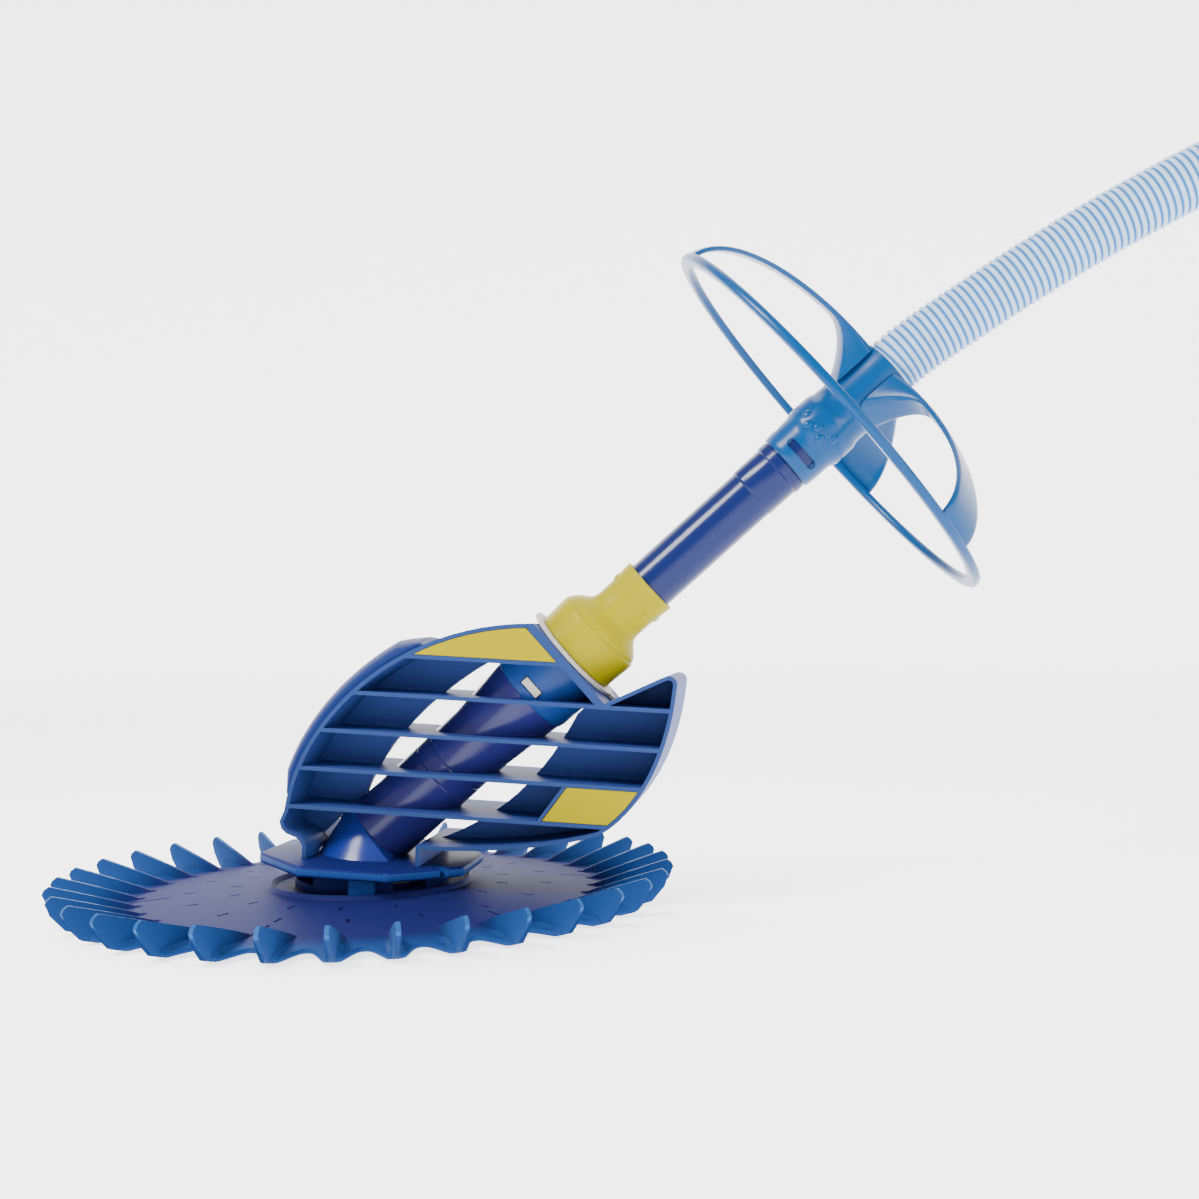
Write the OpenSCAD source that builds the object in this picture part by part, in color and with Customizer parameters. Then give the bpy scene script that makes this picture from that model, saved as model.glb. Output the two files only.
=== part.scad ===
// Suction-side disc pool cleaner: a finned disc that turns on a rubber foot,
// a slatted fin body round a 45 degree tube, a screwed extension pipe, a
// free-turning deflector wheel and a ribbed suction hose. Millimetres, +Z up.

/* [Disc] */
// Outer diameter over the blade tips
disc_d = 410; // [400:1:412]
// Number of upright blades round the rim, an even number
blade_count = 34; // [30:2:36]
// Height of the blade tips above the floor
blade_h = 24.5; // [23:0.5:26]
// Thickness of one blade
blade_t = 3; // [2.5:0.1:3.5]
// Thickness of the flexible sheet
sheet_t = 3; // [2.6:0.1:3.2]
// Slots in each ring of slots
slots_per_ring = 17; // [12:1:17]

/* [Foot] */
// Radius of the rubber neck that the disc turns on
neck_r = 52; // [51:0.5:53]
// Radius of the suction throat
throat_r = 30; // [28:0.5:31]
// Corner radius of the eight-sided flange
flange_r = 75; // [74:0.5:77]

/* [Fin body] */
// Lean of the whole upper body, towards the hose
body_lean = 4; // [3.5:0.1:4.5]
// Half of the width over both shells
half_w = 41; // [40:0.5:42]
// Wall of the rim and of the slats
wall = 2.6; // [2.4:0.1:2.8]
// Height of the lowest slat
slat_z0 = 65.5; // [65:0.5:66]
// Distance from one slat to the next
slat_pitch = 25.5; // [25.3:0.1:25.7]

/* [Tube and nut] */
// Outer radius of the body tube
tube_r = 24.5; // [24:0.1:24.8]
// Outer radius of the upper collar
collar_r = 30; // [29.8:0.1:30.2]
// Radius of the compression ring
ring_r = 36.5; // [36:0.1:37]
// Largest radius of the hand nut
nut_r = 31.5; // [31:0.1:32]
// Outer radius of the extension pipe
pipe_r = 17.3; // [17.1:0.1:17.5]

/* [Deflector wheel] */
// Outer radius of the wheel's ring
wheel_r = 142; // [138:1:143]
// Radial width of the ring
band_w = 9; // [8:0.5:10]
// Thickness of the ring along the axis
band_t = 6; // [5:0.5:6.5]
// Number of arms
arm_count = 3; // [3:1:3]

/* [Hose] */
// Diameter over the hose's ribs
hose_d = 39; // [38:0.5:39]
// Length of the connector at the far end
far_cuff_l = 70; // [70:1:70]

/* [Hidden] */
$fn = 64;

eps = 0.01;
far = 400;
disc_r = disc_d / 2;
half_step = 180 / blade_count;

// Stations along the tube axis, measured from the elbow's centre
elbow_z = 44;
seam_t = 5;
tube_end_t = 143;
seat_t = 182;
nut_t = 185;
nut_end_t = 252;
pipe_start_t = 204;
step_t = 341;
band_start_t = 363;
journal_t = 370;
journal_r = 18;
journal_end_t = 440;
spigot_r = 16.2;
hub_start_t = 371;
wheel_t = 409;
hub_end_t = 461;
hub_r = 21.6;
collar_bore = 24.8;
thread_r = 26.6;
thread_end_t = 200;
latch_t = 152;
panel_t = 2.4;
gap = 0.3;

// Elevation of the tube axis above the floor
axis_tilt = 45 - body_lean;
// Middle of the model's length, hose left out, which the origin stands under
ring_centre_x = elbow_z * sin(body_lean) + wheel_t * cos(axis_tilt);
right_end = ring_centre_x + wheel_r * sin(axis_tilt) + band_t / 2 * cos(axis_tilt);
left_end = disc_r * cos(half_step) + blade_t / 2 * sin(half_step);
frame_x = (right_end - left_end) / 2;

// Route of the hose, from the wheel's hub over an arch and down to the floor
function axis_point(t) = [elbow_z * sin(body_lean) + t * cos(axis_tilt),
    elbow_z * cos(body_lean) + t * sin(axis_tilt)];
hose_route = [axis_point(461), axis_point(471), [376, 365.5], [398, 379.5], [425, 396.5],
    [456, 415], [488, 433], [520, 449.5], [550, 464], [585, 478], [622, 488], [660, 492.5],
    [700, 489], [737, 476], [769, 455], [796, 426], [816, 391], [829, 352], [836, 311],
    [838, 268], [838, 222], [838, 176], [838, 124], [838, 70]];
hose_sides = 12;

navy = [0.06, 0.12, 0.36];
body_blue = [0.08, 0.18, 0.46];
disc_blue = [0.05, 0.25, 0.58];
wheel_blue = [0.0, 0.42, 0.75];
yellow = [1, 0.88, 0];
off_white = [0.85, 0.84, 0.8];
hose_blue = [0.68, 0.77, 0.9];
black = [0.1, 0.1, 0.12];
steel = [0.7, 0.7, 0.72];

// ---- Frames ----
module placed() { translate([-frame_x, 0, 0]) children(); }
module leaned() { placed() rotate([0, body_lean, 0]) children(); }
module on_axis(t = 0) {
    leaned() translate([0, 0, elbow_z]) rotate([0, 45, 0]) translate([0, 0, t]) children();
}

// ---- Helpers ----
function bezier(a, b, c, d, n) = [for (i = [0:n]) let (u = i / n, v = 1 - u)
    v * v * v * a + 3 * v * v * u * b + 3 * v * u * u * c + u * u * u * d];
function arc(c, r, a0, a1, n) = [for (i = [0:n]) let (a = a0 + (a1 - a0) * i / n)
    c + r * [cos(a), sin(a)]];
module tube(r_out, r_in, h) {
    difference() {
        cylinder(r = r_out, h = h);
        translate([0, 0, -1]) cylinder(r = r_in, h = h + 2);
    }
}
// Extrudes a drawing of the XZ plane along Y, from y0 to y1
module side_plate(y0, y1) {
    translate([0, y1, 0]) rotate([90, 0, 0]) linear_extrude(height = y1 - y0) children();
}

// ---- Disc ----
function sheet_z(r) = 12 - 8 * pow(max(0, r - 70) / 118, 1.4);
sheet_hole = neck_r + 0.06;
sheet_edge = 189;
module sheet() {
    radii = [sheet_hole, 70, 85, 100, 115, 130, 145, 160, 175, sheet_edge];
    top = [for (r = radii) [r, sheet_z(r)]];
    bottom = [for (i = [len(radii) - 1:-1:0]) [radii[i], sheet_z(radii[i]) - sheet_t]];
    rotate_extrude($fn = 96) polygon(concat(top, bottom));
}
module lip() {
    lip_r = 64;
    lip_w = 3;
    lip_h = 3;
    translate([0, 0, 12 - eps]) tube(lip_r + lip_w, lip_r, lip_h);
}
module blade() {
    tip = arc([disc_r - 4, blade_h - 4], 4, 120, -20, 5);
    outline = concat([[148, sheet_z(148) - 1]], tip,
        [[199, 11], [190, 3], [185, 0], [179, 0], [172, 2], [160, sheet_z(160) - sheet_t + 0.5]]);
    rotate([90, 0, 0]) translate([0, 0, -blade_t / 2]) linear_extrude(height = blade_t)
        polygon(outline);
}
module slots() {
    slot_l = 8;
    slot_w = 2;
    slit_l = 26;
    for (k = [0:slots_per_ring - 1]) rotate(k * 360 / slots_per_ring) {
        translate([90, 0, 0]) cube([slot_l, slot_w, 60], center = true);
        rotate(half_step) translate([118, 0, 0]) cube([slot_l, slot_w, 60], center = true);
    }
    for (k = [0:5]) rotate(k * 60 + 20) translate([142, 0, 0])
        cube([slit_l, slot_w, 60], center = true);
}
module disc() {
    scallop_r = 12.5;
    scallop_at = 186;
    color(disc_blue) placed() difference() {
        union() {
            difference() {
                sheet();
                for (k = [0:blade_count - 1]) rotate((k + 1) * 360 / blade_count)
                    translate([scallop_at, 0, -5]) cylinder(r = scallop_r, h = 30, $fn = 32);
            }
            lip();
            for (k = [0:blade_count - 1]) rotate(half_step + k * 360 / blade_count) blade();
        }
        slots();
    }
}

// ---- Foot ----
pad_top = 12.3;
module foot_pad() {
    pad_r = 60;
    groove_w = 8;
    color(black) placed() difference() {
        union() {
            cylinder(r = pad_r, h = sheet_z(0) - sheet_t - gap, $fn = 96);
            cylinder(r = neck_r, h = pad_top, $fn = 96);
        }
        translate([0, 0, -1]) cylinder(r = throat_r, h = 20);
        for (a = [0:90:270]) rotate(a) translate([throat_r - 2, -groove_w / 2, -1])
            cube([pad_r, groove_w, 4]);
    }
}
flange_z = 25;
flange_t = 7;
flange_top = flange_z + flange_t;
module foot_flange() {
    window_w = 24;
    lug_w = 16;
    notch_w = 3;
    color(body_blue) difference() {
        leaned() difference() {
            union() {
                translate([0, 0, flange_z]) rotate(22.5)
                    cylinder(r = flange_r, h = flange_t, $fn = 8);
                translate([0, 0, 4]) cylinder(r = neck_r - 1, h = flange_z - 3.5, $fn = 96);
                for (a = [-80, 100]) rotate(a) translate([46, -lug_w / 2, 14.5])
                    cube([15.5, lug_w, flange_z - 14]);
            }
            translate([0, 0, -10]) cylinder(r = throat_r, h = 34);
            translate([0, 0, 24 - eps]) cylinder(r1 = throat_r, r2 = 20, h = 8 + 2 * eps);
            for (a = [-45, 45, 135, 225]) rotate(a) translate([throat_r - 4, -window_w / 2, 15.5])
                cube([40, window_w, 8]);
            for (a = [-34, 146]) rotate(a) translate([58, -notch_w / 2, flange_z - 1])
                cube([30, notch_w, flange_t + 2]);
        }
        placed() translate([-far, -far, pad_top - far]) cube([2 * far, 2 * far, far]);
    }
}

// ---- Tube ----
module below_flange_top() {
    leaned() translate([-100, -100, flange_top - 200]) cube([200, 200, 200]);
}
module lower_elbow() {
    outer = [[0, flange_top], [36, flange_top], [33.5, 36], [28, 46], [23, 54], [17, 61], [0, 66]];
    inner = [[0, flange_top - 1], [27, flange_top - 1], [22, 44], [14, 55], [0, 59]];
    color(body_blue) difference() {
        union() {
            leaned() rotate_extrude() polygon(outer);
            on_axis(-8) cylinder(r = tube_r, h = 8 + seam_t);
        }
        on_axis(seam_t) translate([0, 0, 50]) cube([140, 140, 100], center = true);
        below_flange_top();
        leaned() rotate_extrude() polygon(inner);
        on_axis(-2) cylinder(r = 20.8, h = 20);
    }
}
module body_tube() {
    flare_r = 28.6;
    flare_t = 100;
    groove = 0.5;
    profile = [[21, seam_t], [tube_r, seam_t], [tube_r, 62], [tube_r - groove, 62.6],
        [tube_r, 63.2], [tube_r, 74], [tube_r - groove, 74.6], [tube_r, 75.2],
        [tube_r, flare_t], [flare_r, tube_end_t], [21, tube_end_t]];
    color(navy) difference() {
        on_axis() rotate_extrude() polygon(profile);
        below_flange_top();
    }
}
module upper_collar() {
    window_w = 15;
    window_h = 6.4;
    profile = [[collar_bore, tube_end_t], [29, tube_end_t], [collar_r, tube_end_t + 4],
        [collar_r + 0.8, seat_t - 1], [thread_r, seat_t - 1], [thread_r, thread_end_t],
        [18.4, thread_end_t], [18.4, seat_t], [collar_bore, seat_t - 4]];
    color(body_blue) on_axis() difference() {
        rotate_extrude() polygon(profile);
        translate([0, -collar_r, latch_t]) cube([window_w, 30, window_h], center = true);
    }
}
module cassette_latch() {
    color(off_white) on_axis() translate([0, -27.7, latch_t]) cube([14, 5, 5.4], center = true);
}
module cassette_outer() {
    color(black) on_axis(12) tube(21, 18.2, 128);
}
module cassette_inner() {
    color(off_white) on_axis(118) tube(18.2, 15.4, 58);
}
module diaphragm() {
    profile = [[14, 22], [18.2, 22], [18.2, 28], [15.2, 32], [11.5, 70], [15.2, 108], [18.2, 111],
        [18.2, 116], [14, 116], [13, 106], [9.5, 70], [13, 34]];
    color(black) on_axis() rotate_extrude() polygon(profile);
}
module diaphragm_ring() {
    color(yellow) on_axis(116) tube(18.2, 14, 2);
}

// ---- Fin body ----
nose = bezier([-49, 63], [-44, 121], [17, 189], [108.4, 193], 24);
tail_tip = arc([197.5, 159], 5.5, 115, -10, 5);
back_edge = bezier([202, 147], [199, 115], [185, 77], [158, 60], 12);
belly = bezier([158, 60], [133, 51], [93, 44], [42, 43], 8);
chin = [[-36, flange_top], [-36, 40], [-38, 43.5], [-41, 45.5], [-47, 47.5], [-50.5, 50.5],
    [-52, 55]];
outline = concat(chin, nose, [[157, 144.4], [190, 161.5]], tail_tip, back_edge,
    [for (i = [1:8]) belly[i]], [[42, flange_top]]);
web_left = bezier([-9, 62], [-3, 95], [25, 135], [75, 167], 12);
web_right = bezier([137, 140], [115, 90], [85, 60], [40, 43], 12);
tube_window = concat([[-16, flange_top - 1]], web_left, [[150, 167]], web_right,
    [[40, flange_top - 1]]);
slat_top = slat_z0 + 4 * slat_pitch;
upper_cell = [[20, slat_top], [-20, 220], [90, 220], [107, 200], [139, slat_top]];
lower_cell = [[118, slat_z0], [135, slat_z0 + slat_pitch], [220, slat_z0 + slat_pitch],
    [220, slat_z0]];
shoulder = wall / 2;
// Wider rim along the seat of the compression ring
band_inset = 3.6;
seat_band = [[108.4, 193], [157, 144.4], [157 - band_inset, 144.4 - band_inset],
    [108.4 - band_inset, 193 - band_inset]];

module inside_rim(inset) {
    offset(delta = -inset) polygon(outline);
}
// The pocket that a yellow panel fills, less a margin all round
module cell(points, margin) {
    offset(delta = -margin) intersection() {
        polygon(points);
        inside_rim(wall - shoulder);
    }
}
module slat_lines() {
    for (k = [0:4]) translate([-80, slat_z0 + k * slat_pitch - wall / 2]) square([300, wall]);
}
screw_places = [[76, 179], [140, 79], [160, 80]];
screw_r = 2;
module shell_half() {
    difference() {
        union() {
            side_plate(-half_w, 0) difference() {
                polygon(outline);
                inside_rim(wall);
            }
            side_plate(-half_w, 0) intersection() {
                slat_lines();
                inside_rim(0.5);
            }
            side_plate(-wall, 0) difference() {
                polygon(outline);
                polygon(tube_window);
            }
            side_plate(-half_w, 0) polygon(seat_band);
            for (c = [upper_cell, lower_cell]) side_plate(-half_w + panel_t, -half_w + 2 * panel_t)
                cell(c, 0);
            side_plate(-half_w, 0) intersection() {
                polygon([[116.7, slat_z0], [133.7, 91], [136.3, 91], [119.3, slat_z0]]);
                inside_rim(0.5);
            }
        }
        for (p = screw_places) side_plate(-10, 1) translate(p) circle(r = screw_r + 0.05, $fn = 24);
        side_plate(-half_w - 1, 1) polygon([[-36 + wall, flange_top - 1], [-36 + wall, 42],
            [42 - wall, 42], [42 - wall, flange_top - 1]]);
        tube_clearance();
    }
}
module tube_clearance() {
    translate([0, 0, flange_top - 1]) cylinder(r1 = 37.5, r2 = 27, h = 19);
    translate([0, 0, elbow_z]) rotate([0, 45, 0]) {
        translate([0, 0, -25]) cylinder(r = tube_r + gap, h = 130);
        translate([0, 0, 99]) cylinder(r1 = tube_r + gap, r2 = 29.3, h = 44.5);
        translate([0, 0, 143]) cylinder(r = collar_r + 1.2, h = 50);
        translate([0, 0, seat_t]) cylinder(r = ring_r + 4, h = 70);
    }
}
module fin_shell_left() { color(body_blue) leaned() shell_half(); }
module fin_shell_right() { color(body_blue) leaned() mirror([0, 1, 0]) shell_half(); }
module panel_plate(c) {
    difference() {
        side_plate(-half_w, -half_w + panel_t - 0.1) cell(c, wall / 2 + 0.2);
        translate([0, 0, elbow_z]) rotate([0, 45, 0]) translate([0, 0, seat_t - band_inset * sqrt(2) - 0.2])
            cylinder(r = 60, h = 40);
    }
}
module upper_panel_left() { color(yellow) leaned() panel_plate(upper_cell); }
module upper_panel_right() { color(yellow) leaned() mirror([0, 1, 0]) panel_plate(upper_cell); }
module lower_panel_left() { color(yellow) leaned() panel_plate(lower_cell); }
module lower_panel_right() { color(yellow) leaned() mirror([0, 1, 0]) panel_plate(lower_cell); }
module shell_screws() {
    head_h = 2.6;
    grip = wall + head_h;
    color(steel) leaned() for (p = screw_places) {
        side_plate(-grip, grip) translate(p) circle(r = screw_r, $fn = 24);
        side_plate(-grip, -wall) translate(p) circle(r = 4, $fn = 24);
        side_plate(wall, grip) translate(p) circle(r = 4, $fn = 6);
    }
}
// Crowned rubber strip round the nose: one ring of points across it at each
// station of the nose curve, the lower ends closed by flat caps
strap_first = 1;
strap_last = 17;
strap_steps = 8;
strap_half = 36;
strap_crown = 12;
function nose_normal(i) = let (d = nose[i + 1] - nose[i - 1]) [-d[1], d[0]] / norm(d);
function strap_rise(i, y) = let (u = (i - strap_first) / (strap_last - strap_first))
    strap_crown * min(1, 5 * min(u, 1 - u) + 0.4) * sqrt(max(0, 1 - pow(y / strap_half, 2))) + 1;
module bumper_strap() {
    stations = [strap_first:strap_last];
    across = 2 * strap_steps + 1;
    ring = across + 2;
    points = [for (i = stations) for (j = [-1:across]) let (
        y = strap_half * max(-1, min(1, (j - strap_steps) / strap_steps)),
        rise = (j < 0 || j == across) ? 0 : strap_rise(i, y),
        p = nose[i] + nose_normal(i) * rise) [p[0], y, p[1]]];
    last = strap_last - strap_first;
    sides = [for (i = [0:last - 1]) for (j = [0:ring - 1]) let (k = (j + 1) % ring)
        [i * ring + j, i * ring + k, (i + 1) * ring + k, (i + 1) * ring + j]];
    caps = [[for (j = [ring - 1:-1:0]) j], [for (j = [0:ring - 1]) last * ring + j]];
    color(body_blue) leaned() polyhedron(points, concat(sides, caps));
}

// ---- Clamp and nut ----
module compression_ring() {
    tab_w = 10;
    ring_h = nut_t - seat_t - 2 * gap;
    color(off_white) on_axis(seat_t + gap) difference() {
        union() {
            cylinder(r = ring_r, h = ring_h);
            translate([ring_r - 4, -tab_w / 2, 0]) cube([7, tab_w, ring_h]);
        }
        translate([0, 0, -1]) cylinder(r = thread_r + gap, h = 10);
    }
}
module hand_nut() {
    profile = [[thread_r + gap, nut_t], [30.4, nut_t], [30.8, 190], [nut_r, 200], [nut_r, 206],
        [29.5, 211], [25, 215], [20.5, 218], [18.8, 221], [19, 236], [20.4, nut_end_t],
        [pipe_r + 0.4, nut_end_t], [pipe_r + 0.4, 209], [thread_r + gap, 209]];
    color(yellow) on_axis() rotate_extrude() polygon(profile);
}
module inner_extension_pipe() {
    color(off_white) on_axis(180) tube(15, 12.8, 110);
}
module outer_extension_pipe() {
    bore = 15;
    profile = [[bore, pipe_start_t], [25, pipe_start_t], [25, 208.7], [pipe_r, 208.7],
        [pipe_r, step_t],
        [pipe_r + 0.7, step_t + 1], [pipe_r + 0.7, band_start_t], [18.9, band_start_t + 0.5],
        [18.9, journal_t], [journal_r, journal_t], [journal_r, journal_end_t],
        [spigot_r, journal_end_t], [spigot_r, 458], [bore, 458]];
    color(navy) on_axis() rotate_extrude() polygon(profile);
}
module pipe_seal() {
    color(black) on_axis(202) rotate_extrude() translate([21.5, 0]) circle(r = 2, $fn = 24);
}

// ---- Deflector wheel ----
ring_mid = wheel_r - band_w / 2;
arm_root = 19.6;
arm_h = 52;
arm_w = 3.6;
function arm_half(r) = 8 + (r < 62 ? 5 * pow((62 - r) / 42, 2) : 10.5 * pow((r - 62) / 79, 2));
function arm_outer(a) = [arm_root + (wheel_r - 1 - arm_root) * sin(a), arm_h * cos(a)];
function arm_inner(a) = let (r = arm_root + (wheel_r - 1 - arm_w - arm_root) * sin(a))
    [r, (arm_h - arm_w) * cos(a) - 26 * pow(max(0, 54 - r) / 33, 2)];
module arm() {
    radii = [hub_r - 1.2, 42, 62, 82, 102, 120, wheel_r - 0.8];
    angles = [for (k = [0:12]) 90 * k / 12];
    side = concat([for (a = angles) arm_outer(a)],
        [for (i = [len(angles) - 1:-1:0]) arm_inner(angles[i])]);
    plan = concat([for (r = radii) [r, arm_half(r)]],
        [for (i = [len(radii) - 1:-1:0]) [radii[i], -arm_half(radii[i])]]);
    intersection() {
        translate([0, 30, 0]) rotate([90, 0, 0]) linear_extrude(height = 60) polygon(side);
        translate([0, 0, -10]) linear_extrude(height = 80) polygon(plan);
    }
}
module deflector_wheel() {
    slot_w = 25;
    slot_h = 6;
    half_band = band_t / 2;
    hub = [[journal_r + 0.06, hub_start_t], [19.8, hub_start_t], [20.4, hub_start_t + 4],
        [20.8, 392], [22.4, 396], [22.4, 410], [20.8, 413], [20.6, 440], [hub_r, 455],
        [hub_r, hub_end_t], [20.1, hub_end_t], [20.1, journal_end_t + 0.5],
        [journal_r + 0.06, journal_end_t + 0.5]];
    band = [[ring_mid - band_w / 2, 0], [ring_mid - band_w / 2 + 1.5, half_band],
        [ring_mid + band_w / 2 - 2, half_band], [ring_mid + band_w / 2, half_band - 2],
        [ring_mid + band_w / 2, 2 - half_band], [ring_mid + band_w / 2 - 2, -half_band],
        [ring_mid - band_w / 2 + 1.5, -half_band]];
    color(wheel_blue) on_axis() difference() {
        union() {
            rotate_extrude() polygon(hub);
            translate([0, 0, wheel_t]) rotate_extrude($fn = 96) polygon(band);
            for (k = [0:arm_count - 1]) rotate(198 + k * 360 / arm_count)
                translate([0, 0, wheel_t - 1]) arm();
        }
        for (k = [0:2]) rotate(13 + 120 * k) translate([0, -22, 381.5])
            cube([slot_w, 10, slot_h], center = true);
        translate([0, 0, 360]) cylinder(r = journal_r + 0.06, h = 90);
    }
}

// ---- Hose ----
module hose_cuff() {
    cuff_l = hub_end_t - journal_end_t - 1;
    color(black) on_axis(journal_end_t + 1) tube(19.3, spigot_r, cuff_l);
}
module hose() {
    n = len(hose_route);
    r = hose_d / 2;
    points = [for (i = [0:n - 1]) let (
        d = hose_route[min(i + 1, n - 1)] - hose_route[max(i - 1, 0)],
        u = [-d[1], d[0]] / norm(d))
        for (j = [0:hose_sides - 1]) let (a = 360 * j / hose_sides)
            [hose_route[i][0] + r * cos(a) * u[0], r * sin(a), hose_route[i][1] + r * cos(a) * u[1]]];
    sides = [for (i = [0:n - 2]) for (j = [0:hose_sides - 1]) let (k = (j + 1) % hose_sides)
        [i * hose_sides + j, i * hose_sides + k, (i + 1) * hose_sides + k, (i + 1) * hose_sides + j]];
    caps = [[for (j = [hose_sides - 1:-1:0]) j],
        [for (j = [0:hose_sides - 1]) (n - 1) * hose_sides + j]];
    color(hose_blue) placed() polyhedron(points, concat(sides, caps));
}
module hose_far_cuff() {
    profile = [[19, 0], [23.5, 0], [24, 4], [24, 14], [22.5, 17], [22.5, 48], [24, 52], [24, 60],
        [21.5, 64], [21.5, far_cuff_l], [15, far_cuff_l], [15, 46], [19, 46]];
    route_end = hose_route[len(hose_route) - 1];
    color(hose_blue) placed() translate([route_end[0], 0, 0]) rotate_extrude() polygon(profile);
}

foot_pad();
disc();
foot_flange();
lower_elbow();
body_tube();
upper_collar();
cassette_latch();
cassette_outer();
cassette_inner();
diaphragm();
diaphragm_ring();
fin_shell_left();
fin_shell_right();
bumper_strap();
upper_panel_left();
upper_panel_right();
lower_panel_left();
lower_panel_right();
shell_screws();
compression_ring();
hand_nut();
inner_extension_pipe();
outer_extension_pipe();
pipe_seal();
deflector_wheel();
hose_cuff();
hose();
hose_far_cuff();
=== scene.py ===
"""Looks of the suction pool cleaner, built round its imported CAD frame."""
import math

import bmesh
import bpy
import numpy as np
from mathutils import Matrix, Vector

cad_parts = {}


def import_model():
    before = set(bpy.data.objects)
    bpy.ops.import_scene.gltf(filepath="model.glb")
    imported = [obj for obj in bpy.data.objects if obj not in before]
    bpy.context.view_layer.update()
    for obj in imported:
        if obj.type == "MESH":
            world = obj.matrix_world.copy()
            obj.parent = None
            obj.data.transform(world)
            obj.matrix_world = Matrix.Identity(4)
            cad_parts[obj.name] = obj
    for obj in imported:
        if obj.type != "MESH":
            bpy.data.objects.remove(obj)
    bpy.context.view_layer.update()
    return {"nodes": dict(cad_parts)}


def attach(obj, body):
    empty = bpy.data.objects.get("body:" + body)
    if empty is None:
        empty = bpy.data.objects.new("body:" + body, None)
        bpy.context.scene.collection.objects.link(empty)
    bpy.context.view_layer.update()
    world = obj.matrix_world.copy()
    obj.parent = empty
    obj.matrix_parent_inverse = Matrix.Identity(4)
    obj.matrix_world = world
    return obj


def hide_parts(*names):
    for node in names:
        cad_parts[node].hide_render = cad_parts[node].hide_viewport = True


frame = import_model()

MM = 0.001
FRAME_X = 101.453            # from the middle of the model's length to the disc's centre, mm
LEAN = math.radians(4)       # the upper body leans this far towards the hose
TILT = math.radians(41)      # slope of the tube axis
ELBOW_Z = 44.0               # height at which the tube axis meets the disc's axis, mm
HALF_W = 41.0                # half the width of the shells, mm
HOSE_PITCH = 4.74            # from rib to rib, mm
BLADES = 34
DISC_R = 205.0               # to the blade tips, mm
WHEEL_R = 142.0
WHEEL_T = 409.0              # the wheel's ring along the tube axis, mm
FLANGE_ROUND = 2.4           # radius of the flange's rim, mm


# ---- Frames ----
def world(p):
    """A point in millimetres, measured from under the disc's centre, in the row frame."""
    return Vector(((p[0] - FRAME_X) * MM, p[1] * MM, p[2] * MM))


def leaned(p):
    """A point of the leaned upper body, in millimetres before the lean."""
    c, s = math.cos(LEAN), math.sin(LEAN)
    return world((c * p[0] + s * p[2], p[1], -s * p[0] + c * p[2]))


def on_axis(radius, angle, t):
    """A point round the tube axis. Angle 0 is down-right and 270 faces the camera."""
    c, s = math.cos(math.pi / 4), math.sin(math.pi / 4)
    x, y = radius * math.cos(angle), radius * math.sin(angle)
    return leaned((c * x + s * t, y, ELBOW_Z - s * x + c * t))


def axis_point(t):
    """A point on the tube axis, in millimetres and not yet shifted into the row frame."""
    return (ELBOW_Z * math.sin(LEAN) + t * math.cos(TILT), 0.0,
            ELBOW_Z * math.cos(LEAN) + t * math.sin(TILT))


def bezier(a, b, c, d, n):
    """n points along a cubic curve."""
    u = np.linspace(0, 1, n)[:, None]
    a, b, c, d = map(np.array, (a, b, c, d))
    return (1 - u) ** 3 * a + 3 * (1 - u) ** 2 * u * b + 3 * (1 - u) * u * u * c + u ** 3 * d


def smooth(x, low, high):
    """An eased step from 0 at low to 1 at high."""
    u = np.clip((x - low) / (high - low), 0, 1)
    return u * u * (3 - 2 * u)


def rounded_square(count, power):
    """Points round a square of half-width 1 whose corners are rounded more as power rises."""
    soften = lambda v: math.copysign(abs(v) ** power, v)
    angles = [2 * math.pi * k / count for k in range(count)]
    return [(soften(math.cos(a)), soften(math.sin(a))) for a in angles]


# ---- Materials ----
def linear(rgb, depth=0.5):
    """A colour as a shader takes it, deepened because the white studio lifts every tone."""
    return [depth * (((c / 255 + 0.055) / 1.055) ** 2.4 if c > 10 else c / 255 / 12.92)
            for c in rgb]


def plastic(name, rgb, rough=0.35, coat=0.0, grain=0.0, mottle=0.06, scale=90, gleam=0.14,
            depth=0.5):
    """Moulded plastic with a slight change of tone and a fine surface grain."""
    mat = bpy.data.materials.new(name)
    mat.use_nodes = True
    nodes, links = mat.node_tree.nodes, mat.node_tree.links
    shader = nodes["Principled BSDF"]
    shader.inputs["Roughness"].default_value = rough
    shader.inputs["Coat Weight"].default_value = coat
    shader.inputs["Specular IOR Level"].default_value = gleam
    shader.inputs["Coat Roughness"].default_value = 0.12
    noise = nodes.new("ShaderNodeTexNoise")
    noise.inputs["Scale"].default_value = scale
    noise.inputs["Detail"].default_value = 4
    coord = nodes.new("ShaderNodeTexCoord")
    links.new(coord.outputs["Object"], noise.inputs["Vector"])
    tone = nodes.new("ShaderNodeValToRGB")
    base = linear(rgb, depth)
    for stop, k in zip(tone.color_ramp.elements, (1 - mottle, 1 + mottle)):
        stop.color = [min(1, c * k) for c in base] + [1]
    links.new(noise.outputs["Fac"], tone.inputs["Fac"])
    links.new(tone.outputs["Color"], shader.inputs["Base Color"])
    if grain:
        relief = nodes.new("ShaderNodeBump")
        relief.inputs["Strength"].default_value = grain
        relief.inputs["Distance"].default_value = 0.0004
        links.new(noise.outputs["Fac"], relief.inputs["Height"])
        links.new(relief.outputs["Normal"], shader.inputs["Normal"])
    return mat


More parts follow.
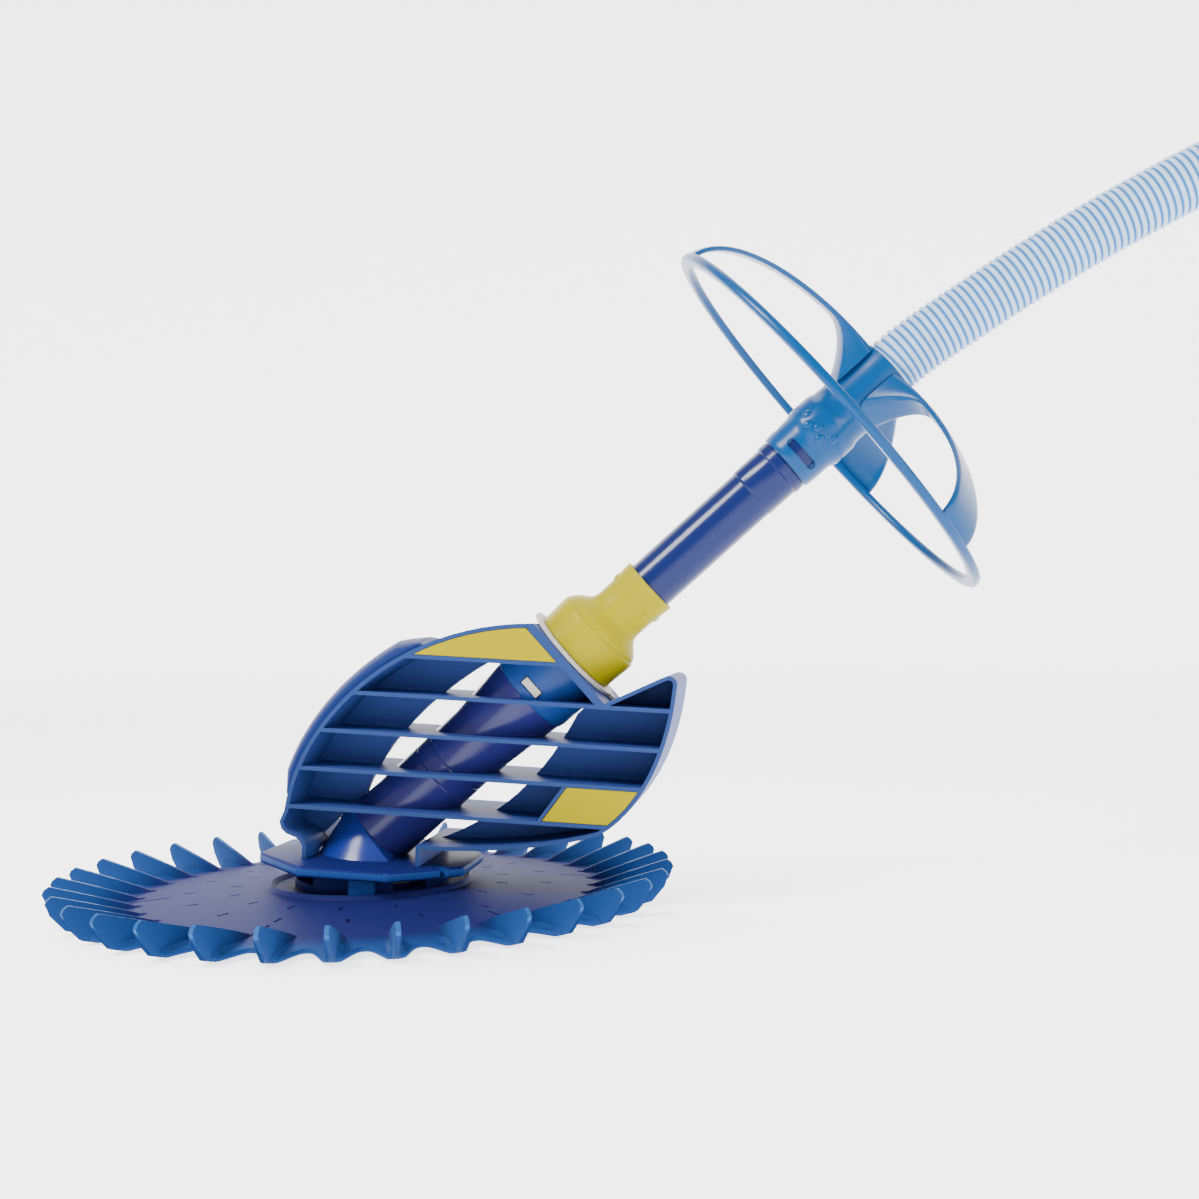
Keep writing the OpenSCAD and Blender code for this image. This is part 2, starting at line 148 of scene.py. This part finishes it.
NAVY = plastic("navy_gloss", (46, 46, 122), 0.2, 0.05, 0.02, gleam=0.3, depth=0.62)
WEB = plastic("shell_blue", (56, 76, 146), 0.44, grain=0.06, gleam=0.04, depth=0.74)
# The lighter blue for the shell's sideways faces is a painted highlight, set by which way the
# faces look.
SHELL_SIDE_HIGHLIGHT = plastic("shell_side_highlight_blue", (58, 86, 150), 0.42, grain=0.04, gleam=0.06)
STRAP = plastic("strap_blue", (38, 60, 132), 0.42, grain=0.05, gleam=0.05)
ELBOW = plastic("elbow_blue", (38, 62, 166), 0.26, 0.04, 0.03, gleam=0.25, depth=0.55)
FLANGE = plastic("flange_blue", (34, 44, 120), 0.42, grain=0.04, gleam=0.03)
# The lighter blue for the flange's upright rim faces is a painted highlight.
FLANGE_RIM_HIGHLIGHT = plastic("flange_rim_highlight_blue", (40, 84, 168), 0.38, grain=0.04, gleam=0.06)
COLLAR = plastic("collar_blue", (38, 84, 168), 0.3, 0.03, 0.04, gleam=0.18)
# The lighter blue along the blade crests is a painted highlight.
BLADE_CREST_HIGHLIGHT = plastic("blade_crest_highlight_blue", (50, 108, 180), 0.42, grain=0.05, gleam=0.05)
WHEEL = plastic("wheel_blue", (0, 118, 208), 0.26, 0.02, mottle=0.03, scale=30, gleam=0.18,
                depth=0.27)
YELLOW = plastic("yellow_gloss", (248, 230, 0), 0.3, mottle=0.015, scale=60, gleam=0.05,
                 depth=0.34)
INSERT = plastic("insert_yellow", (250, 228, 0), 0.55, grain=0.03, mottle=0.015, scale=60,
                 gleam=0.0, depth=0.35)
WHITE = plastic("off_white", (214, 208, 194), 0.45, grain=0.1, depth=0.75)
HOSE_RIB = plastic("hose_rib", (190, 212, 240), 0.4, 0.03, 0.02, 0.03, gleam=0.1, depth=0.8)
HOSE_GROOVE = plastic("hose_groove", (70, 146, 214), 0.45, grain=0.02, gleam=0.05, depth=0.7)
CUFF = plastic("cuff_blue", (70, 140, 210), 0.4, grain=0.04)
PIPE = plastic("pipe_navy", (26, 44, 120), 0.2, 0.05, 0.02, gleam=0.2, depth=0.42)
BLACK = plastic("black_rubber", (22, 22, 26), 0.6, grain=0.2)
STEEL = plastic("screw_steel", (180, 180, 184), 0.3, grain=0.05, depth=1)
STEEL.node_tree.nodes["Principled BSDF"].inputs["Metallic"].default_value = 1.0


def disc_material():
    """The disc's plastic: dull navy in the middle and brighter blue out on the blades."""
    mat = plastic("disc_blue", (38, 42, 112), 0.55, grain=0.12, mottle=0.1, scale=40, gleam=0.04)
    nodes, links = mat.node_tree.nodes, mat.node_tree.links
    shader, tone = nodes["Principled BSDF"], nodes["Color Ramp"]
    coord = nodes["Texture Coordinate"]
    offset = nodes.new("ShaderNodeVectorMath")
    offset.operation = "ADD"
    offset.inputs[1].default_value = (FRAME_X * MM, 0, 0)
    flat = nodes.new("ShaderNodeVectorMath")
    flat.operation = "MULTIPLY"
    flat.inputs[1].default_value = (1, 1, 0)
    length = nodes.new("ShaderNodeVectorMath")
    length.operation = "LENGTH"
    ramp = nodes.new("ShaderNodeMapRange")
    ramp.inputs["From Min"].default_value = 0.152
    ramp.inputs["From Max"].default_value = 0.172
    mix = nodes.new("ShaderNodeMix")
    mix.data_type = "RGBA"
    mix.inputs["B"].default_value = linear((40, 86, 160), 0.44) + [1]
    links.new(coord.outputs["Object"], offset.inputs[0])
    links.new(offset.outputs[0], flat.inputs[0])
    links.new(flat.outputs[0], length.inputs[0])
    links.new(length.outputs["Value"], ramp.inputs["Value"])
    links.new(ramp.outputs["Result"], mix.inputs["Factor"])
    links.new(tone.outputs["Color"], mix.inputs["A"])
    links.new(mix.outputs["Result"], shader.inputs["Base Color"])
    return mat


SHEET = disc_material()


# ---- Mesh helpers ----
def add_object(name, mesh, mats):
    """Links a new object that holds the mesh and its materials."""
    obj = bpy.data.objects.new(name, mesh)
    bpy.context.collection.objects.link(obj)
    for m in mats:
        mesh.materials.append(m)
    return obj


def bmesh_object(name, bm, mats):
    """Turns a bmesh into a linked object and frees it."""
    mesh = bpy.data.meshes.new(name)
    bm.to_mesh(mesh)
    bm.free()
    return add_object(name, mesh, mats)


def grid_mesh(name, points, mats, close_u=False, close_v=False, pick=None, caps=False):
    """A mesh over a grid of points, closed round either way, capped at its ends when asked."""
    nu, nv = len(points), len(points[0])
    verts = [tuple(p) for row in points for p in row]
    faces, index = [], []
    for i in range(nu if close_u else nu - 1):
        for j in range(nv if close_v else nv - 1):
            a, b = (i + 1) % nu, (j + 1) % nv
            faces.append((i * nv + j, i * nv + b, a * nv + b, a * nv + j))
            index.append(pick(i, j) if pick else 0)
    if caps:
        faces += [tuple(range(nv))[::-1], tuple((nu - 1) * nv + j for j in range(nv))]
        index += [0, 0]
    mesh = bpy.data.meshes.new(name)
    mesh.from_pydata(verts, [], faces)
    for poly, k in zip(mesh.polygons, index):
        poly.material_index = k
    obj = add_object(name, mesh, mats)
    clean(obj)
    return obj


def clean(obj, sharp=35):
    """Welds the mesh, points its faces outwards and smooths all but its sharp edges."""
    bm = bmesh.new()
    bm.from_mesh(obj.data)
    bmesh.ops.remove_doubles(bm, verts=bm.verts, dist=1e-6)
    bmesh.ops.recalc_face_normals(bm, faces=bm.faces)
    if bm.calc_volume(signed=True) < 0:
        bmesh.ops.reverse_faces(bm, faces=bm.faces)
    for f in bm.faces:
        f.smooth = True
    for e in bm.edges:
        e.smooth = len(e.link_faces) == 2 and e.calc_face_angle(0) < math.radians(sharp)
    bm.to_mesh(obj.data)
    bm.free()


def join(name, objs):
    """Makes one object of several meshes that carry the same materials."""
    bm = bmesh.new()
    for o in objs:
        bm.from_mesh(o.data)
    mats = list(objs[0].data.materials)
    for o in objs:
        bpy.data.objects.remove(o)
    return bmesh_object(name, bm, mats)


def carve(obj, tool):
    """Takes the tool's volume out of the object and removes the tool."""
    mod = obj.modifiers.new("cut", "BOOLEAN")
    mod.operation = "DIFFERENCE"
    mod.solver = "EXACT"
    mod.object = tool
    dg = bpy.context.evaluated_depsgraph_get()
    mesh = bpy.data.meshes.new_from_object(obj.evaluated_get(dg))
    obj.modifiers.clear()
    obj.data = mesh
    bpy.data.objects.remove(tool)


def place(obj, body, slot, *nodes):
    """Says which body an object moves with and the CAD nodes it stands for; the slot argument is
    not used.
    """
    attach(obj, body)
    if nodes:
        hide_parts(*nodes)
    return obj


def bevel(obj, width, segments=2):
    """Rounds every edge sharper than 32 degrees."""
    mod = obj.modifiers.new("edges", "BEVEL")
    mod.width = width * MM
    mod.segments = segments
    mod.limit_method = "ANGLE"
    mod.angle_limit = math.radians(32)
    mod.harden_normals = True
    return obj


def rounded(node, body, slot, mats, width=0.5, pick=None, segments=2, wide=None):
    """A copy of a CAD node with its facets merged and its edges rounded, wide ones more."""
    mesh = frame["nodes"][node].data.copy()
    mesh.materials.clear()
    bm = bmesh.new()
    bm.from_mesh(mesh)
    bmesh.ops.remove_doubles(bm, verts=bm.verts, dist=2e-6)
    bmesh.ops.dissolve_limit(bm, angle_limit=math.radians(1), verts=bm.verts, edges=bm.edges)
    bm.normal_update()
    if wide:
        bmesh.ops.bevel(bm, geom=[e for e in bm.edges if wide(e)], offset=FLANGE_ROUND * MM,
                        segments=4, profile=0.5, affect="EDGES", clamp_overlap=True)
        bm.normal_update()
    for f in bm.faces:
        f.material_index = pick(f.normal, f.calc_center_median()) if pick else 0
    bm.to_mesh(mesh)
    bm.free()
    obj = add_object(node + "_skin", mesh, mats)
    clean(obj)
    if width:
        bevel(obj, width, segments)
    return place(obj, body, slot, node)


def lathe(name, profile, mats, steps=96, wobble=None, pick=None):
    """Turns a profile of (t, radius) round the tube axis. wobble changes the radius."""
    rows = []
    for k in range(steps):
        a = 2 * math.pi * k / steps
        rows.append([on_axis(r + (wobble(a, t) if wobble else 0), a, t) for t, r in profile])
    return grid_mesh(name, rows, mats, close_u=True, close_v=True, pick=pick)


# ---- Camera ----
def make_camera():
    """The photograph's view: low, and turned a little to the left."""
    yaw, pitch, roll = map(math.radians, (5.52, 1.26, -0.87))
    ahead = Vector((-math.sin(yaw) * math.cos(pitch), math.cos(yaw) * math.cos(pitch),
                    -math.sin(pitch)))
    right = Vector((math.cos(yaw), math.sin(yaw), 0))
    up = right.cross(ahead)
    r = right * math.cos(roll) + up * math.sin(roll)
    u = up * math.cos(roll) - right * math.sin(roll)
    data = bpy.data.cameras.new("camera")
    data.lens = 42.0
    data.sensor_width = 36.0
    data.shift_x = -0.0505
    data.shift_y = 0.0505
    cam = bpy.data.objects.new("camera", data)
    bpy.context.collection.objects.link(cam)
    turn = Matrix((r, u, -ahead)).transposed()
    cam.matrix_world = Matrix.Translation(world((288, -922, 180))) @ turn.to_4x4()
    bpy.context.scene.camera = cam


# ---- Hose ----
def hose_route():
    """The hose's centreline as even steps along a smooth curve through its stations."""
    start, second = axis_point(461), axis_point(471)
    stations = [(start[0], start[2]), (second[0], second[2]), (376, 365.5), (398, 379.5),
                (425, 396.5), (456, 415), (488, 433), (520, 449.5), (550, 464), (585, 478),
                (622, 488), (660, 492.5), (700, 489), (737, 476), (769, 455), (796, 426),
                (816, 391), (829, 352), (836, 311), (838, 268), (838, 222), (838, 176),
                (838, 124), (838, 70)]
    pts = np.array(stations, float)
    ends = np.vstack([2 * pts[0] - pts[1], pts, 2 * pts[-1] - pts[-2]])
    fine = []
    for i in range(len(pts) - 1):
        p0, p1, p2, p3 = ends[i:i + 4]
        for u in np.linspace(0, 1, 24, endpoint=False):
            fine.append(0.5 * (2 * p1 + (p2 - p0) * u + (2 * p0 - 5 * p1 + 4 * p2 - p3) * u * u
                               + (3 * p1 - p0 - 3 * p2 + p3) * u ** 3))
    fine.append(pts[-1])
    return np.array(fine)


def make_hose():
    """The ribbed hose: the rib's section is swept along the route, with blue grooves."""
    line = hose_route()
    walk = np.r_[0, np.cumsum(np.linalg.norm(np.diff(line, axis=0), axis=1))]
    total = walk[-1]
    ribs = round(total / HOSE_PITCH)
    per_rib = 8
    sides = 48
    s = np.linspace(0, total, ribs * per_rib + 1)
    x, z = np.interp(s, walk, line[:, 0]), np.interp(s, walk, line[:, 1])
    dx, dz = np.gradient(x, s), np.gradient(z, s)
    norm = np.hypot(dx, dz)
    shape = (19.45, 19.45, 19.1, 18.2, 17.5, 17.5, 18.2, 19.1)
    rows = []
    for i in range(len(s)):
        r = shape[i % per_rib]
        nx, nz = -dz[i] / norm[i], dx[i] / norm[i]
        ring = []
        for k in range(sides):
            a = 2 * math.pi * k / sides
            c = r * math.cos(a)
            ring.append(world((x[i] + c * nx, r * math.sin(a), z[i] + c * nz)))
        rows.append(ring)
    pick = lambda i, j: 1 if i % per_rib in (3, 4, 5) else 0
    hose = grid_mesh("hose_ribbed", rows, [HOSE_RIB, HOSE_GROOVE], close_v=True, pick=pick,
                     caps=True)
    place(hose, "base", "hose_plastic", "hose")


# ---- Disc ----
def sheet_height(r):
    """Height of the disc's top at a radius, without its blades."""
    return 12 - 8 * np.clip((r - 70) / 118, 0, None) ** 1.4


def disc_column(w):
    """Top and bottom of the disc along one radius, w mm at the rim from a blade's middle."""
    blade = 1 - smooth(abs(w), 1.25, 2.5)
    skirt = 1 - smooth(abs(w), 2.3, 17.0)
    edge = 172.5 + 17.5 * skirt ** 1.3
    reach = edge + (DISC_R - edge) * (1 - smooth(abs(w), 1.4, 2.4))
    r = np.r_[52.06, 62.5, 64, 65.5, 67, 68.5, np.linspace(72, reach - 1.2, 46),
              reach - 0.4, reach]
    lip = 3 * smooth(r, 62.5, 65) * (1 - smooth(r, 66, 68.5))
    base = sheet_height(np.minimum(r, 190))
    rise = np.clip((r - 148) / 53, 0, 1)
    crest = np.where(r > 148, sheet_height(148) + (24.5 - sheet_height(148)) * rise ** 0.92, base)
    crest = np.minimum(crest, 24.5 - 4 * np.clip((r - 200) / 5, 0, 1) ** 2)
    fillet = 2.2 * (1 - smooth(abs(w), 2.3, 5.5)) * smooth(r, 158, 176)
    top = base + lip + fillet + (np.maximum(crest - base - fillet, 0)) * blade
    under = sheet_height(np.minimum(r, 188)) - 3
    foot = np.interp(r, [150, 160, 172, 179, 185, 190, 199, 205],
                     [sheet_height(150) - 3, sheet_height(160) - 3, 2.2,
                      0, 0, 3, 11, 19])
    spread = 1 - smooth(abs(w), 2.2, 7.5)
    bottom = np.where(r > 150, under + (foot - under) * np.maximum(blade, 0.9 * spread
                      * (r < edge + 0.5)), under)
    bottom = np.minimum(bottom, top - 0.6)
    round_edge = smooth(r, reach - 1.2, reach) * 0.45 * (top - bottom)
    return r, top - round_edge, np.maximum(bottom + round_edge, 0)


def make_disc():
    """The disc in one closed sheet: a column of points for each angle, 34 blades round."""
    half_pitch = math.pi * 190 / BLADES
    w = np.array([0, 0.7, 1.25, 1.6, 2.0, 2.5, 3.4, 5, 7.5, 10, 13, 15.5])
    w = np.r_[-half_pitch, -w[:0:-1], w]
    rows = []
    for k in range(BLADES):
        for x in w:
            angle = (k + 0.5) * 2 * math.pi / BLADES + x / 190
            r, top, bottom = disc_column(x)
            c, s = math.cos(angle), math.sin(angle)
            rows.append([world((a * c, a * s, z)) for a, z in zip(r, top)]
                        + [world((a * c, a * s, z)) for a, z in zip(r[::-1], bottom[::-1])])
    count = len(rows[0])
    # The faces along each blade's crest get the lighter blue of a painted highlight.
    crest = lambda i, j: 1 if (abs(w[i % len(w)]) < 1.3 and abs(w[(i + 1) % len(w)]) < 1.3
                               and 40 < j < count - 52) else 0
    obj = grid_mesh("disc_sheet", rows, [SHEET, BLADE_CREST_HIGHLIGHT], close_u=True, close_v=True,
                    pick=crest)
    cut_slots(obj)
    place(obj, "disc", "disc_rubber", "disc")


def slot_cutter(radius, angle, length, width):
    """A box that cuts one slot through the disc, pointing outwards."""
    bm = bmesh.new()
    bmesh.ops.create_cube(bm, size=1)
    turn = Matrix.Rotation(angle, 4, "Z")
    place_at = Matrix.Translation(world((0, 0, 0)))
    size = Matrix.Diagonal((length * MM, width * MM, 0.08, 1))
    bm.transform(place_at @ turn @ Matrix.Translation((radius * MM, 0, 0)) @ size)
    return bmesh_object("slot", bm, [])


def cut_slots(obj):
    """Cuts the two rings of short slots and the few long slits through the sheet."""
    step = 2 * math.pi / 17
    cutters = [slot_cutter(90, k * step, 8, 2) for k in range(17)]
    cutters += [slot_cutter(118, k * step + math.pi / BLADES, 8, 2) for k in range(17)]
    cutters += [slot_cutter(142, math.radians(k * 60 + 20), 26, 2) for k in range(6)]
    tool = join("slots", cutters)
    carve(obj, tool)


# ---- Nose strap ----
def make_strap():
    """The rounded strip over the nose, swollen along its middle and tucked in at its ends."""
    fine = bezier((-49, 63), (-44, 121), (17, 189), (108.4, 193), 241)[10:171]
    tangent = np.gradient(fine, axis=0)
    normal = np.stack([-tangent[:, 1], tangent[:, 0]], 1)
    normal /= np.linalg.norm(normal, axis=1)[:, None]
    rows = []
    for i, (p, n) in enumerate(zip(fine, normal)):
        u = i / (len(fine) - 1)
        ends = min(1, 5 * min(u, 1 - u) + 0.4)
        tuck = smooth(min(u, 1 - u), 0, 0.02)
        ring = []
        for a in np.linspace(0, math.pi, 33):
            y = -35.6 * math.cos(a)
            h = (1 + 12 * ends * math.sqrt(max(0, 1 - (y / 36) ** 2))) * (0.25 + 0.75 * tuck)
            ring.append((p + n * h, y))
        ring += [(p + n * 0.05, 35.6), (p + n * 0.05, 0), (p + n * 0.05, -35.6)]
        rows.append([leaned((q[0], y, q[1])) for q, y in ring])
    obj = grid_mesh("nose_strap", rows, [STRAP], close_v=True, caps=True)
    place(bevel(obj, 0.6), "base", "blue_plastic", "bumper_strap")


# ---- Hand nut ----
def make_nut():
    """The hand nut with nine finger grooves and a row of small buttons."""
    profile = [(185, 26.9), (185, 30.0), (185.6, 30.5), (190, 30.8), (197, 31.2), (203, 31.4),
               (206.5, 31.2), (207.4, 30.6), (207.8, 29.9), (210, 29.2), (212.5, 27.2),
               (215, 24.4), (217, 21.9), (219, 20.1), (222, 19.0), (228, 18.9), (236, 19.1),
               (244, 19.7), (250.5, 20.2), (251.6, 20.2), (252, 19.8), (252, 17.7), (209, 17.7),
               (209, 26.9)]
    reach = lambda t: float(smooth(t, 187, 191) * (1 - smooth(t, 200, 206)))
    grip = lambda a, t: -0.55 * (0.5 + 0.5 * math.cos(9 * a)) ** 3 * reach(t)
    obj = lathe("hand_nut_body", profile, [YELLOW], 144, grip)
    place(obj, "nut", "yellow_plastic", "hand_nut")
    for k in range(6):
        bump(f"nut_stud_{k}", 19.0, math.radians(60 * k + 10), 240, 2.6, "nut", "yellow_plastic",
             YELLOW)


def bump(name, radius, angle, t, size, body, slot, mat):
    """A small moulded half-round button on a part that lies round the tube axis."""
    bm = bmesh.new()
    bmesh.ops.create_uvsphere(bm, u_segments=16, v_segments=10, radius=1)
    out = (on_axis(radius + 1, angle, t) - on_axis(radius, angle, t)).normalized()
    along = (on_axis(0, 0, t + 1) - on_axis(0, 0, t)).normalized()
    side = along.cross(out)
    turn = Matrix((out, side, along)).transposed().to_4x4()
    size_m = Matrix.Diagonal((0.5 * size * MM, size * MM, size * MM * 1.2, 1))
    bm.transform(Matrix.Translation(on_axis(radius, angle, t)) @ turn @ size_m)
    obj = bmesh_object(name, bm, [mat])
    clean(obj, 60)
    return place(obj, body, slot)


# ---- Deflector wheel ----
def arm_half(r):
    """Half an arm's width: wide at the hub and at the ring, narrow between."""
    return 8 + 5 * ((62 - r) / 42) ** 2 if r < 62 else 8 + 10.5 * ((r - 62) / 79) ** 2


def arm_section(a):
    """The outer and inner edge of an arm's side view, as (radius, rise above the ring)."""
    outer = (19.6 + (WHEEL_R - 1 - 19.6) * math.sin(a), 52 * math.cos(a))
    r = 19.6 + (WHEEL_R - 4.6 - 19.6) * math.sin(a)
    return outer, (r, 48.4 * math.cos(a) - 26 * (max(0, 54 - r) / 33) ** 2)


def make_arm(angle):
    """One curved arm from the ring up to the hub's top."""
    rows = []
    for k in range(41):
        (ro, to), (ri, ti) = arm_section(math.pi / 2 * k / 40)
        half = arm_half(min(ro, 140))
        ring = []
        for x, y in rounded_square(28, 0.35):
            r = (ro + ri) / 2 + (ro - ri) / 2 * y
            t = (to + ti) / 2 + (to - ti) / 2 * y
            lateral = x * half
            turn = angle + math.atan2(lateral, r)
            ring.append(on_axis(math.hypot(lateral, r), turn, WHEEL_T - 1 + t))
        rows.append(ring)
    return grid_mesh("arm", rows, [WHEEL], close_v=True, caps=True)


def make_wheel():
    """The deflector wheel: ring, slotted hub and three arms, with small studs on the hub."""
    band = [(WHEEL_T + 3 * y, WHEEL_R - 4.5 + 4.5 * x) for x, y in rounded_square(28, 0.6)]
    hub = [(371, 18.06), (371, 19.5), (371.5, 19.9), (375, 20.3), (380, 20.5), (388, 20.6),
           (391, 20.8), (393.5, 21.8), (396, 22.4), (409, 22.4), (411.5, 22.0), (413.5, 20.9),
           (420, 20.6), (440, 20.6), (450, 20.9), (455, 21.4), (460.4, 21.6), (461, 21.2),
           (461, 20.1), (440.5, 20.1), (440.5, 18.06)]
    ring = lathe("ring", band, [WHEEL], 192)
    barrel = lathe("barrel", hub, [WHEEL], 96)
    cut_hub_slots(barrel)
    arms = [make_arm(math.radians(198 + 120 * k)) for k in range(3)]
    wheel = join("wheel_body", [ring, barrel] + arms)
    place(wheel, "wheel", "wheel_plastic", "deflector_wheel")
    studs = [(252, 397), (268, 400), (284, 396), (300, 402), (236, 401), (20, 398), (60, 402),
             (100, 397), (150, 401)]
    for k, (angle, t) in enumerate(studs):
        bump(f"wheel_stud_{k}", 22.1, math.radians(angle), t, 2.9, "wheel", "wheel_plastic", WHEEL)


def hub_slot(angle):
    """A rounded-end prism that cuts one slot through the hub's wall."""
    out = (on_axis(2, angle, 382) - on_axis(1, angle, 382)).normalized()
    along = (on_axis(0, 0, 383) - on_axis(0, 0, 382)).normalized()
    side = along.cross(out)
    outline = []
    for k in range(24):
        a = 2 * math.pi * (k + 0.5) / 24
        end = math.copysign(9.6, math.cos(a))
        outline.append((end + 2.9 * math.cos(a), 2.9 * math.sin(a)))
    bm = bmesh.new()
    rings = []
    for depth in (15.0, 25.0):
        centre = on_axis(depth, angle, 381.5)
        rings.append([bm.verts.new(centre + side * x * MM + along * y * MM) for x, y in outline])
    for k in range(24):
        n = (k + 1) % 24
        bm.faces.new((rings[0][k], rings[0][n], rings[1][n], rings[1][k]))
    bm.faces.new(rings[0])
    bm.faces.new(rings[1])
    bmesh.ops.recalc_face_normals(bm, faces=bm.faces)
    return bmesh_object("slot", bm, [])


def cut_hub_slots(obj):
    """Cuts the hub's three slots one at a time."""
    for k in range(3):
        carve(obj, hub_slot(math.radians(283 + 120 * k)))


# ---- CAD nodes with rounded edges ----
def pick_shell_side_highlight(normal, centre):
    """Picks a lighter blue, a painted highlight, for the shell's faces that look sideways at its
    outer edge.
    """
    return 1 if abs(normal.y) > 0.9 and abs(centre.y) > (HALF_W - 1) * MM else 0


def pick_flange_rim_highlight(normal, centre):
    """Picks a lighter blue, a painted highlight, for the flange's upright outer faces."""
    out = math.hypot(centre.x + FRAME_X * MM, centre.y)
    return 1 if abs(normal.z) < 0.5 and out > 0.056 else 0


def flange_rim(edge):
    """Whether an edge runs round the outside of the flange's plate."""
    far = all(math.hypot(v.co.x + FRAME_X * MM, v.co.y) > 0.065 for v in edge.verts)
    return far and edge.calc_face_angle(0) > 0.5


def dress_nodes():
    """Gives every node that is not rebuilt its rounded copy, and returns the far cuff's."""
    rounded("foot_pad", "base", "black_rubber", [BLACK], 0.6)
    rounded("foot_flange", "base", "blue_plastic", [FLANGE, FLANGE_RIM_HIGHLIGHT], 0.8, pick_flange_rim_highlight, 3,
            flange_rim)
    rounded("lower_elbow", "base", "blue_plastic", [ELBOW], 0.3)
    rounded("body_tube", "base", "navy_plastic", [NAVY], 0.3)
    rounded("upper_collar", "base", "blue_plastic", [COLLAR], 0.5)
    rounded("cassette_latch", "latch", "white_plastic", [WHITE], 0.5)
    rounded("fin_shell_left", "base", "blue_plastic", [WEB, SHELL_SIDE_HIGHLIGHT], 0.7, pick_shell_side_highlight)
    rounded("fin_shell_right", "base", "blue_plastic", [WEB, SHELL_SIDE_HIGHLIGHT], 0.7, pick_shell_side_highlight)
    for name in ("upper_panel_left", "upper_panel_right", "lower_panel_left",
                 "lower_panel_right"):
        rounded(name, "base", "yellow_plastic", [INSERT], 0.5)
    rounded("compression_ring", "clamp_ring", "white_plastic", [WHITE], 0.4)
    rounded("outer_extension_pipe", "base", "navy_plastic", [PIPE], 0.4)
    rounded("inner_extension_pipe", "base", "white_plastic", [WHITE], 0.3)
    rounded("pipe_seal", "base", "black_rubber", [BLACK], 0)
    rounded("hose_cuff", "base", "black_rubber", [BLACK], 0.4)
    for name in ("cassette_outer", "diaphragm"):
        rounded(name, "base", "black_rubber", [BLACK], 0.2)
    rounded("cassette_inner", "base", "white_plastic", [WHITE], 0.3)
    rounded("diaphragm_ring", "base", "yellow_plastic", [YELLOW], 0.2)
    rounded("shell_screws", "base", "steel", [STEEL], 0.25)
    return rounded("hose_far_cuff", "base", "hose_plastic", [CUFF], 0.8)


# ---- Stage ----
def flat_material(name, glow):
    """A matt white that also gives off light."""
    mat = bpy.data.materials.new(name)
    mat.use_nodes = True
    shader = mat.node_tree.nodes["Principled BSDF"]
    shader.inputs["Base Color"].default_value = (0.86, 0.86, 0.86, 1)
    shader.inputs["Roughness"].default_value = 0.9
    shader.inputs["Emission Color"].default_value = (1, 1, 1, 1)
    shader.inputs["Emission Strength"].default_value = glow
    return mat


def add_light(name, place_mm, aim_mm, size, power):
    """A rectangular lamp at one point, aimed at another."""
    data = bpy.data.lights.new(name, "AREA")
    data.shape = "RECTANGLE"
    data.size, data.size_y = size
    data.energy = power
    obj = bpy.data.objects.new(name, data)
    bpy.context.collection.objects.link(obj)
    obj.location = world(place_mm)
    obj.rotation_euler = (world(aim_mm) - obj.location).to_track_quat("-Z", "Y").to_euler()


def add_plane(name, corners, mat):
    """A flat piece of the studio, which is not part of the model."""
    mesh = bpy.data.meshes.new(name)
    mesh.from_pydata(corners, [], [(0, 1, 2, 3)])
    add_object(name, mesh, [mat])


def make_stage():
    """A white studio: glowing floor and backdrop, an even world and three lamps."""
    s = 14.0
    z = -0.0006
    glow = flat_material("studio_white", 2.3)
    add_plane("floor", [(-s, -s, z), (s, -s, z), (s, s, z), (-s, s, z)], glow)
    wall = flat_material("backdrop_white", 2.55)
    add_plane("backdrop", [(-s, 6, z), (s, 6, z), (s, 6, 10), (-s, 6, 10)], wall)
    scene_world = bpy.data.worlds.new("studio")
    scene_world.use_nodes = True
    back = scene_world.node_tree.nodes["Background"]
    back.inputs["Color"].default_value = (1, 1, 1, 1)
    back.inputs["Strength"].default_value = 0.8
    bpy.context.scene.world = scene_world
    add_light("key", (-640, -750, 1200), (100, 0, 120), (0.5, 0.35), 30)
    add_light("top", (300, 200, 1500), (200, 0, 150), (1.2, 0.6), 12)
    add_light("side", (1300, -900, 500), (200, 0, 150), (0.4, 0.8), 9)


make_camera()
cuff = dress_nodes()
make_hose()
make_disc()
make_strap()
make_nut()
make_wheel()
make_stage()
